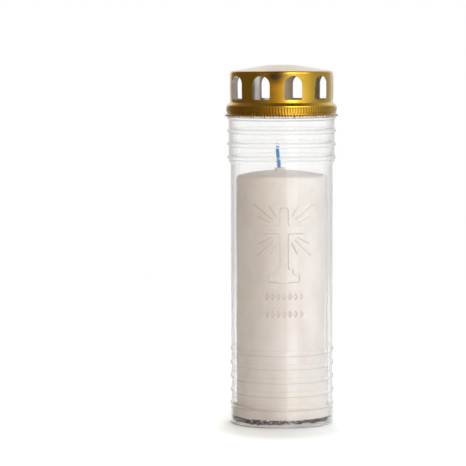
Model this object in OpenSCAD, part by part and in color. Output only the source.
// Sanctuary lamp: a clear ribbed container on a pushed-up base, a pierced and
// domed metal lid that seats on its rim, and a loose candle with wick and sustainer.
// Millimetres, +Z up. The origin is the centre of the standing ring, and the
// raised cross faces -Y.

/* [Container] */
// Height of the container, from the table to the rim
container_h = 210; // [200:0.1:240]
// Outside radius of the smooth body
body_r = 33.5; // [30:0.1:45]
// Wall thickness
wall = 0.5; // [0.4:0.05:0.7]
// How far the ribbed neck stands out of the body
neck_step = 1.25; // [0.8:0.05:2]
// Height of the flare between the body and the neck
flare_h = 1.8; // [1.5:0.1:4]
// Radius of the flare's two bends
flare_bend_r = 1.5; // [0.8:0.1:2]
// How far the plain base band stands out of the body
base_step = 0.35; // [0.2:0.05:0.6]
// Height of the plain base band
base_band_h = 10.6; // [8:0.1:10.8]
// Radius of the corner between the base band and the standing ring
base_corner_r = 2.8; // [1.5:0.1:4]

/* [Pushed-up floor] */
// Flat width of the standing ring
ring_w = 1; // [0.6:0.1:2]
// Radius of the inner edge of the standing ring
ring_edge_r = 0.8; // [0.75:0.05:1.2]
// Height of the floor's underside above the table
floor_h = 5; // [4:0.1:8]
// Angle by which the push-up's side leans in from the vertical
floor_draft = 15; // [5:1:25]
// Radius of the push-up's upper corner, on the underside
floor_corner_r = 1.5; // [0.5:0.1:2.5]

/* [Neck ribs] */
// Number of ribs below the lid
neck_ribs = 4; // [2:1:4]
// Distance from the rim down to the first rib
neck_rib_drop = 8.8; // [8.7:0.1:11]
// Distance between neighbouring ribs
neck_rib_pitch = 8.7; // [6:0.1:9]
// How far a rib stands out of the neck
neck_rib_out = 1.1; // [0.6:0.05:1.2]
// Angle of a rib's flanks to the wall
neck_rib_flank = 45; // [40:1:50]
// Radius of a rib's top
neck_rib_top_r = 1; // [0.8:0.05:1.2]
// How far the neck runs on below the last rib's centre
neck_tail = 2.5; // [2.4:0.1:4]
// Distance from the rim down to the snap bead inside the lid
snap_drop = 3.3; // [2.8:0.1:4]
// How far the snap bead stands out of the neck
snap_out = 0.35; // [0.3:0.05:0.5]
// Angle of the snap bead's flanks to the wall
snap_flank = 35; // [30:1:40]
// Radius of the snap bead's top
snap_top_r = 0.8; // [0.75:0.05:0.9]

/* [Foot ribs] */
// Number of ribs above the base band
foot_ribs = 5; // [2:1:5]
// Height of the lowest rib's centre above the table
foot_rib_z = 13.3; // [13.2:0.05:16]
// Distance between neighbouring ribs
foot_rib_pitch = 8.9; // [5:0.05:10]
// How far a rib stands out of the body
foot_rib_out = 0.8; // [0.5:0.05:0.9]
// Angle of a rib's flanks to the wall
foot_rib_flank = 35; // [32:1:40]
// Radius of a rib's top
foot_rib_top_r = 2; // [1:0.1:2.2]
// Radius of the hollow at the root of every rib
rib_root_r = 0.6; // [0.3:0.1:0.7]

/* [Raised cross] */
// How far the relief stands out of the body
relief_h = 0.35; // [0.2:0.05:0.6]
// Height of the crossing's centre above the table
cross_z = 129.6; // [120:0.1:140]
// Width of the upright
shaft_w = 5.4; // [4:0.1:7]
// Height of the upright's top above the crossing
shaft_up = 14.2; // [12:0.1:18]
// Corner radius of the upright's top
shaft_top_r = 2; // [0.5:0.1:2]
// Height of the arms
arm_h = 5.2; // [3:0.1:6]
// Distance from the upright's centre to the end of an arm
arm_reach = 14.1; // [10:0.1:18]
// Radius of the fillets where the arms meet the upright
crossing_fillet = 1.1; // [0.4:0.1:2]

/* [Stepped foot of the cross] */
// Drop from the crossing to the plinth's underside
plinth_drop = 34.1; // [28:0.1:36]
// Height of the plinth
plinth_h = 4.7; // [3:0.1:5]
// Half of the plinth's width
plinth_half_w = 10; // [9.5:0.1:14]
// Height of the step on the plinth
step_h = 3.5; // [3:0.1:5]
// Half of the step's width at its top
step_half_w = 5.7; // [5.2:0.1:6]
// Radius of the hollow curves beside the step and at the upright's foot
step_cove_r = 2.4; // [1.5:0.1:2.4]

/* [Rays] */
// Angles of the three rays of a quarter, from the horizontal
ray_angles = [28, 42.5, 60];
// Distances from the crossing to the rays' outer ends
ray_ends = [18.6, 24, 17.8];
// Widths of the rays at their outer ends
ray_widths = [1.1, 1.7, 1.1];
// Distance from the crossing to the rays' inner ends
ray_start = 10.1; // [9:0.1:12]
// Width of a ray at its inner end
ray_root_w = 0.5; // [0.3:0.1:1]

/* [Ornament rows] */
// Drops from the crossing to the two rows
row_drops = [43.5, 54.8];
// Number of lozenges in each row
row_counts = [7, 9];
// Distance between neighbouring lozenges
lozenge_pitch = 3.7; // [3.2:0.1:4]
// Height of a lozenge
lozenge_h = 3.6; // [2.4:0.1:4.4]
// Width of a lozenge
lozenge_w = 2.1; // [1.2:0.1:2.6]

/* [Lid] */
// Thickness of the lid's sheet
sheet = 0.3; // [0.25:0.05:0.45]
// How far the lid's inside face stands in from the rim's inside face
lid_step_in = 0.65; // [0.3:0.05:1]
// Slope of the ledge that sits on the rim
ledge_slope = 45; // [30:1:50]
// Gap between the ledge and the rim's outer edge
seat_gap = 0.1; // [0.05:0.05:0.3]
// Radius of the hollow between the wall and the ledge
ledge_cove_r = 0.5; // [0.3:0.1:0.8]
// Gap between the snap bead and the skirt's waist
waist_gap = 0.3; // [0.2:0.05:0.6]
// How far the bead stands out of the waist
bead_out = 0.4; // [0.3:0.05:0.8]
// Corner radius at the bead's top
bead_top_r = 1; // [0.7:0.05:1.3]
// Height of the waist, from the skirt's underside to the bead's lower edge
waist_h = 1.7; // [1.6:0.1:2.4]
// Radius of the two bends between the bead and the waist
waist_bend_r = 0.5; // [0.45:0.05:0.6]
// Depth of the skirt below the rim
skirt_h = 6.9; // [6.6:0.1:7.4]
// Width of the flared lip beyond the waist
lip_w = 1.7; // [1.2:0.1:2.5]
// Radius of the hollow between the waist and the lip
lip_cove_r = 0.8; // [0.4:0.1:1]
// Height of the wall, from the rim to the crown's edge
lid_wall_h = 21.55; // [20.5:0.05:32]
// Radius of the shoulder between the wall and the crown
shoulder_r = 1.8; // [1:0.1:3]
// Slope of the crown
crown_slope = 9.4; // [4:0.1:15]
// Radius of the flat in the middle of the crown
crown_flat_r = 9; // [4:0.1:14]
// Radius of the blend round the crown's flat
crown_blend_r = 25; // [10:1:30]

/* [Knurling on the bead] */
// Number of flutes round the bead
flutes = 120; // [60:1:140]
// Depth of a flute
flute_depth = 0.15; // [0.05:0.05:0.2]
// Height of the knurled band
knurl_h = 2.4; // [1:0.1:2.6]

/* [Windows] */
// Number of windows round the lid
window_count = 10; // [6:1:12]
// Width of a window
window_w = 11.8; // [8:0.1:13]
// Height of a window, from its sill to the top of its arch
window_h = 15.4; // [13:0.1:16]
// Height of the sill above the rim
window_sill = 3.3; // [2.6:0.1:4]
// Corner radius at the sill
sill_corner_r = 0.8; // [0.3:0.1:1.5]
// Turn of the first window from the cross, towards +X
window_phase = 10.5; // [-18:0.5:18]

/* [Candle] */
// Gap between the candle and the container's wall
candle_gap = 3; // [1:0.1:5]
// Height of the candle, from its foot to the edge of its top
candle_h = 157.5; // [120:0.1:158]
// Rise of the top from its edge to its middle
candle_dome = 3.7; // [1:0.1:6]
// Radius of the rounding round the top
candle_edge_r = 1.2; // [0.5:0.1:3]
// Radius of the wax collar round the wick
collar_r = 3.6; // [3.5:0.1:5]
// Height of the collar above the top
collar_h = 1.6; // [0.8:0.1:2.2]

/* [Wick] */
// Radius of the wick
wick_r = 1.05; // [0.7:0.05:1.3]
// Clearance round the wick and the sustainer in the wax
wax_gap = 0.05; // [0.02:0.01:0.1]
// Length of wick that stands out of the collar
wick_out = 13.7; // [8:0.1:20]
// Lean of the free end from the vertical, towards -X
wick_lean = 5.8; // [1:0.1:8]
// Depth of the bend below the middle of the candle's top
wick_bend_drop = 13.8; // [10:0.1:18]
// How far the wick is fuller at its bend
wick_bend_swell = 0.04; // [0.03:0.01:0.1]

/* [Wick sustainer] */
// Radius of the sustainer's disc
disc_r = 10; // [6:0.1:16]
// Thickness of the disc and of the neck's wall
tin = 0.3; // [0.2:0.05:0.5]
// Height of the neck above the disc
tin_neck_h = 7; // [3:0.1:12]

/* [Hidden] */
$fn = 96;
arc_steps = 6;
cut = 1;

neck_r = body_r + neck_step;
base_r = body_r + base_step;
neck_foot_z = container_h - neck_rib_drop - (neck_ribs - 1) * neck_rib_pitch - neck_tail;
foot_top_z = foot_rib_z + (foot_ribs - 1) * foot_rib_pitch;
floor_top = floor_h + wall;
ring_in_r = base_r - base_corner_r - ring_w - ring_edge_r * tan(45 - floor_draft / 2);

waist_r = neck_r + snap_out + waist_gap + sheet;
bead_r = waist_r + bead_out;
lid_r = neck_r - wall - lid_step_in + sheet;
lip_z = container_h - skirt_h;
seat_z = container_h + seat_gap + sheet / cos(ledge_slope);
ledge_z = seat_z + (neck_r - lid_r) * tan(ledge_slope);
bead_top_z = seat_z - (bead_r - neck_r) * tan(ledge_slope);
bead_foot_z = lip_z + waist_h + bead_out;
crown_edge_z = container_h + lid_wall_h;
crown_z = crown_edge_z + (lid_r - crown_flat_r) * tan(crown_slope);

candle_r = body_r - wall - candle_gap;
candle_edge_z = floor_top + candle_h;
candle_top_z = candle_edge_z + candle_dome;
dome_r = (candle_r * candle_r + candle_dome * candle_dome) / (2 * candle_dome);

wick_bend_z = candle_top_z - wick_bend_drop;
wick_free = (wick_bend_drop + collar_h) / cos(wick_lean) + wick_out;
wick_exit_x = -wick_bend_drop * tan(wick_lean);
tin_neck_r = wick_r + wax_gap + tin;

// Points along an arc round c, from angle a to angle b
function arc(c, r, a, b) =
    [for (i = [0:arc_steps]) let (t = a + (b - a) * i / arc_steps) c + r * [cos(t), sin(t)]];

function reversed(points) = [for (i = [len(points) - 1:-1:0]) points[i]];
function unit(v) = v / norm(v);
function right_of(d) = [d[1], -d[0]];
function turned(v, a) = [v[0] * cos(a) - v[1] * sin(a), v[0] * sin(a) + v[1] * cos(a)];
function flat_point(corner) = [corner[0], corner[1]];

// The bend at corner b between corners a and c, each [x, y, radius], moved in to the
// right of the path by inset, so that a bend's two faces keep one centre
function bend(a, b, c, inset) =
    let (d0 = unit(flat_point(b) - flat_point(a)),
         d1 = unit(flat_point(c) - flat_point(b)),
         n0 = right_of(d0),
         n1 = right_of(d1),
         side = cross(d0, d1) < 0 ? 1 : -1,
         angle = acos(min(1, d0 * d1)),
         radius = b[2] - side * inset,
         corner = flat_point(b) + inset * (n0 + n1) / (1 + n0 * n1),
         centre = corner - radius * tan(angle / 2) * d0 + side * radius * n0)
    [for (i = [0:arc_steps])
        centre - side * radius * turned(n0, -side * angle * i / arc_steps)];

// A whole path of corners, bent round each inner corner and moved in by inset
function bent_path(corners, inset) =
    let (last = len(corners) - 1,
         start = flat_point(corners[0]),
         end = flat_point(corners[last]))
    concat(
        [start + inset * right_of(unit(flat_point(corners[1]) - start))],
        [for (i = [1:last - 1]) each bend(corners[i - 1], corners[i], corners[i + 1], inset)],
        [end + inset * right_of(unit(end - flat_point(corners[last - 1])))]);

// Corners of one rib on a wall of radius r, from its upper root to its lower one
function rib(r, z, out, flank, top_r) =
    let (peak = out + top_r * (1 / cos(flank) - 1), half = peak / tan(flank))
    [[r, z + half, rib_root_r], [r + peak, z, top_r], [r, z - half, rib_root_r]];

// Container's outer face: rim, ribbed neck, body, ribbed foot, standing ring, floor
container_corners = concat(
    [[neck_r, container_h, 0]],
    rib(neck_r, container_h - snap_drop, snap_out, snap_flank, snap_top_r),
    [for (i = [0:neck_ribs - 1])
        each rib(neck_r, container_h - neck_rib_drop - i * neck_rib_pitch,
                 neck_rib_out, neck_rib_flank, neck_rib_top_r)],
    [[neck_r, neck_foot_z, flare_bend_r], [body_r, neck_foot_z - flare_h, flare_bend_r]],
    [for (i = [0:foot_ribs - 1])
        each rib(body_r, foot_top_z - i * foot_rib_pitch,
                 foot_rib_out, foot_rib_flank, foot_rib_top_r)],
    [[body_r, base_band_h + base_step, base_step / 2], [base_r, base_band_h, wall + base_step / 4]],
    [[base_r, 0, base_corner_r], [ring_in_r, 0, ring_edge_r]],
    [[ring_in_r - floor_h * tan(floor_draft), floor_h, floor_corner_r], [0, floor_h, 0]]);

// Lid's outer face, from the middle of the crown to the edge of the lip
lid_corners = [
    [0, crown_z, 0],
    [crown_flat_r, crown_z, crown_blend_r],
    [lid_r, crown_edge_z, shoulder_r],
    [lid_r, ledge_z, ledge_cove_r],
    [bead_r, bead_top_z, bead_top_r],
    [bead_r, bead_foot_z, waist_bend_r],
    [waist_r, lip_z + waist_h, waist_bend_r],
    [waist_r, lip_z + sheet, lip_cove_r],
    [waist_r + lip_w, lip_z + sheet, 0]];

// Turns a thin wall about Z: a path of corners, and the same path moved in by gauge
module turned_wall(corners, gauge) {
    rotate_extrude()
        polygon(concat(bent_path(corners, 0), reversed(bent_path(corners, gauge))));
}

// Cuts or carries a flat shape on the front, from radius r0 to radius r1
module on_front(r0, r1) {
    translate([0, -r0, 0])
        rotate([90, 0, 0])
            linear_extrude(r1 - r0)
                children();
}

// A hollow corner of radius r that opens towards +X and +Y
module cove(r) {
    difference() {
        square(r);
        translate([r, r])
            circle(r);
    }
}

// Right half of the cross above its foot, with the crossing's centre at the origin
module half_cross() {
    square([shaft_w / 2 - shaft_top_r, shaft_up]);
    square([shaft_w / 2, shaft_up - shaft_top_r]);
    translate([shaft_w / 2 - shaft_top_r, shaft_up - shaft_top_r])
        circle(shaft_top_r);
    translate([0, -plinth_drop])
        square([shaft_w / 2, plinth_drop]);
    translate([0, -arm_h / 2])
        square([arm_reach, arm_h]);
    for (side = [0, 1])
        mirror([0, side])
            translate([shaft_w / 2, arm_h / 2])
                cove(crossing_fillet);
}

// Right half of the plinth, the coved step on it and the upright's flared foot
module half_plinth() {
    translate([0, -plinth_drop]) {
        square([plinth_half_w, plinth_h]);
        translate([0, plinth_h])
            square([step_half_w, step_h]);
        translate([step_half_w, plinth_h])
            cove(step_cove_r);
        translate([shaft_w / 2, plinth_h + step_h])
            cove(step_cove_r);
    }
}

// One ray that widens outwards along +X
module ray(end, end_w) {
    polygon([[ray_start, -ray_root_w / 2], [end, -end_w / 2],
             [end, end_w / 2], [ray_start, ray_root_w / 2]]);
}

module quarter_of_rays() {
    for (i = [0:len(ray_angles) - 1])
        rotate(ray_angles[i])
            ray(ray_ends[i], ray_widths[i]);
}

// A row of lozenges centred on the origin
module lozenge_row(count) {
    for (i = [0:count - 1])
        translate([(i - (count - 1) / 2) * lozenge_pitch, 0])
            polygon([[lozenge_w / 2, 0], [0, lozenge_h / 2],
                     [-lozenge_w / 2, 0], [0, -lozenge_h / 2]]);
}

module emblem_outline() {
    for (side = [0, 1])
        mirror([side, 0]) {
            half_cross();
            half_plinth();
            quarter_of_rays();
            mirror([0, 1])
                quarter_of_rays();
        }
    for (i = [0:len(row_drops) - 1])
        translate([0, -row_drops[i]])
            lozenge_row(row_counts[i]);
}

// The emblem wrapped on the body: its outline cut out of a thin round skin
module relief() {
    skin_z = cross_z - row_drops[len(row_drops) - 1] - lozenge_h;
    skin_top = cross_z + max(ray_ends) + cut;
    intersection() {
        on_front(0, body_r + relief_h + cut)
            translate([0, cross_z])
                emblem_outline();
        translate([0, 0, skin_z])
            difference() {
                cylinder(r = body_r + relief_h, h = skin_top - skin_z);
                translate([0, 0, -cut])
                    cylinder(r = body_r - wall / 2, h = skin_top - skin_z + 2 * cut);
            }
    }
}

module container() {
    color([0.88, 0.92, 0.94, 0.4]) {
        turned_wall(container_corners, wall);
        relief();
    }
}

// An arched window standing on its sill at the origin
module window_outline() {
    arch_r = window_w / 2;
    translate([-arch_r, sill_corner_r])
        square([window_w, window_h - arch_r - sill_corner_r]);
    translate([0, window_h - arch_r])
        circle(arch_r);
    translate([sill_corner_r - arch_r, 0])
        square([window_w - 2 * sill_corner_r, window_h - arch_r]);
    for (side = [-1, 1])
        translate([side * (arch_r - sill_corner_r), sill_corner_r])
            circle(sill_corner_r);
}

// A band of upright flutes that stands on the bead's sheet
module knurling() {
    middle_z = (bead_top_z - bead_top_r * tan(ledge_slope / 2) + bead_foot_z) / 2;
    flute_r = PI * bead_r / flutes / 2;
    translate([0, 0, middle_z - knurl_h / 2])
        linear_extrude(knurl_h)
            difference() {
                circle(bead_r + flute_depth);
                circle(bead_r - sheet / 2);
                for (i = [0:flutes - 1])
                    rotate(i * 360 / flutes)
                        translate([bead_r + flute_r, 0])
                            circle(flute_r, $fn = 16);
            }
}

module lid() {
    color([0.80, 0.60, 0.16])
        difference() {
            union() {
                turned_wall(lid_corners, sheet);
                knurling();
            }
            for (i = [0:window_count - 1])
                rotate(window_phase + i * 360 / window_count)
                    on_front(lid_r / 2, lid_r + cut)
                        translate([0, container_h + window_sill])
                            window_outline();
        }
}

// The wick's form, upright to its bend and then leaning, grown by gap
module wick_form(gap, foot_z) {
    r = wick_r + gap;
    translate([0, 0, foot_z])
        cylinder(r = r, h = wick_bend_z - foot_z);
    translate([0, 0, wick_bend_z]) {
        sphere(r = r + wick_bend_swell);
        rotate([0, -wick_lean, 0])
            cylinder(r = r, h = wick_free);
    }
}

// Wax section: straight side, rounded edge and shallow dome
module wax_section() {
    dome_z = candle_top_z - dome_r;
    edge_x = candle_r - candle_edge_r;
    edge_z = dome_z + sqrt(pow(dome_r - candle_edge_r, 2) - edge_x * edge_x);
    turn = atan2(edge_z - dome_z, edge_x);
    polygon(concat(
        [[0, floor_top], [candle_r, floor_top]],
        arc([edge_x, edge_z], candle_edge_r, 0, turn),
        arc([0, dome_z], dome_r, turn, 90)));
}

module candle() {
    color([0.93, 0.91, 0.87])
        difference() {
            union() {
                rotate_extrude()
                    wax_section();
                translate([wick_exit_x, 0, candle_edge_z])
                    cylinder(r = collar_r, h = candle_dome + collar_h);
            }
            wick_form(wax_gap, floor_top - cut);
            translate([0, 0, floor_top - cut])
                cylinder(r = disc_r + wax_gap, h = cut + tin + wax_gap);
            translate([0, 0, floor_top - cut])
                cylinder(r = tin_neck_r + wax_gap, h = cut + tin + tin_neck_h + wax_gap);
        }
}

module wick() {
    color([0.12, 0.45, 0.75])
        wick_form(0, floor_top + tin);
}

module wick_sustainer() {
    color([0.75, 0.76, 0.77])
        translate([0, 0, floor_top])
            difference() {
                union() {
                    cylinder(r = disc_r, h = tin);
                    cylinder(r = tin_neck_r, h = tin + tin_neck_h);
                }
                translate([0, 0, -cut])
                    cylinder(r = wick_r + wax_gap, h = tin + tin_neck_h + 2 * cut);
            }
}

container();
lid();
candle();
wick();
wick_sustainer();
